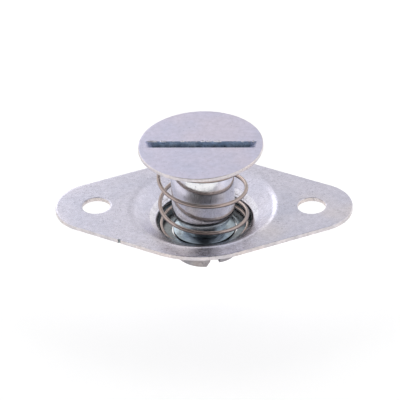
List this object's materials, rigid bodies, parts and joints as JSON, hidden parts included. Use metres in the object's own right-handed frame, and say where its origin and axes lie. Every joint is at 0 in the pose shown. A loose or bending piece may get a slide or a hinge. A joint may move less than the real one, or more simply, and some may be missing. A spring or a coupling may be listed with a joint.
{
  "type": "quarter-turn fastener",
  "caption": "Spring-loaded quarter-turn stud with a slotted flush head and a cam-slotted barrel, standing in a pressed lozenge mounting plate with riveting ears.",
  "frame": {"origin": "midway between the rivet holes, on the plate's underside and on the stud's axis", "axes": "+X along the plate's long axis, +Z out through the stud's head"},
  "size_m": [0.0524, 0.0314, 0.0223],
  "materials": {
    "plated_sheet": "satin",
    "plated_stud": "satin",
    "spring_wire": "satin"
  },
  "bodies": {
    "plate": {"mounting_plate": "plated_sheet"},
    "spring": {"ejector_spring": "spring_wire"},
    "stud": {"stud": "plated_stud"}
  },
  "joints": [
    {"name": "quarter_turn", "type": "hinge", "parent": "plate", "child": "spring", "pos_m": [0, 0, 0], "axis": [0, 0, 1], "range_deg": [-90, 0]},
    {"name": "press", "type": "slide", "parent": "spring", "child": "stud", "axis": [0, 0, 1], "range_m": [-0.013, 0], "stiffness_N_per_m": 270, "springref_m": 0.001, "deforming": ["ejector_spring"]}
  ]
}
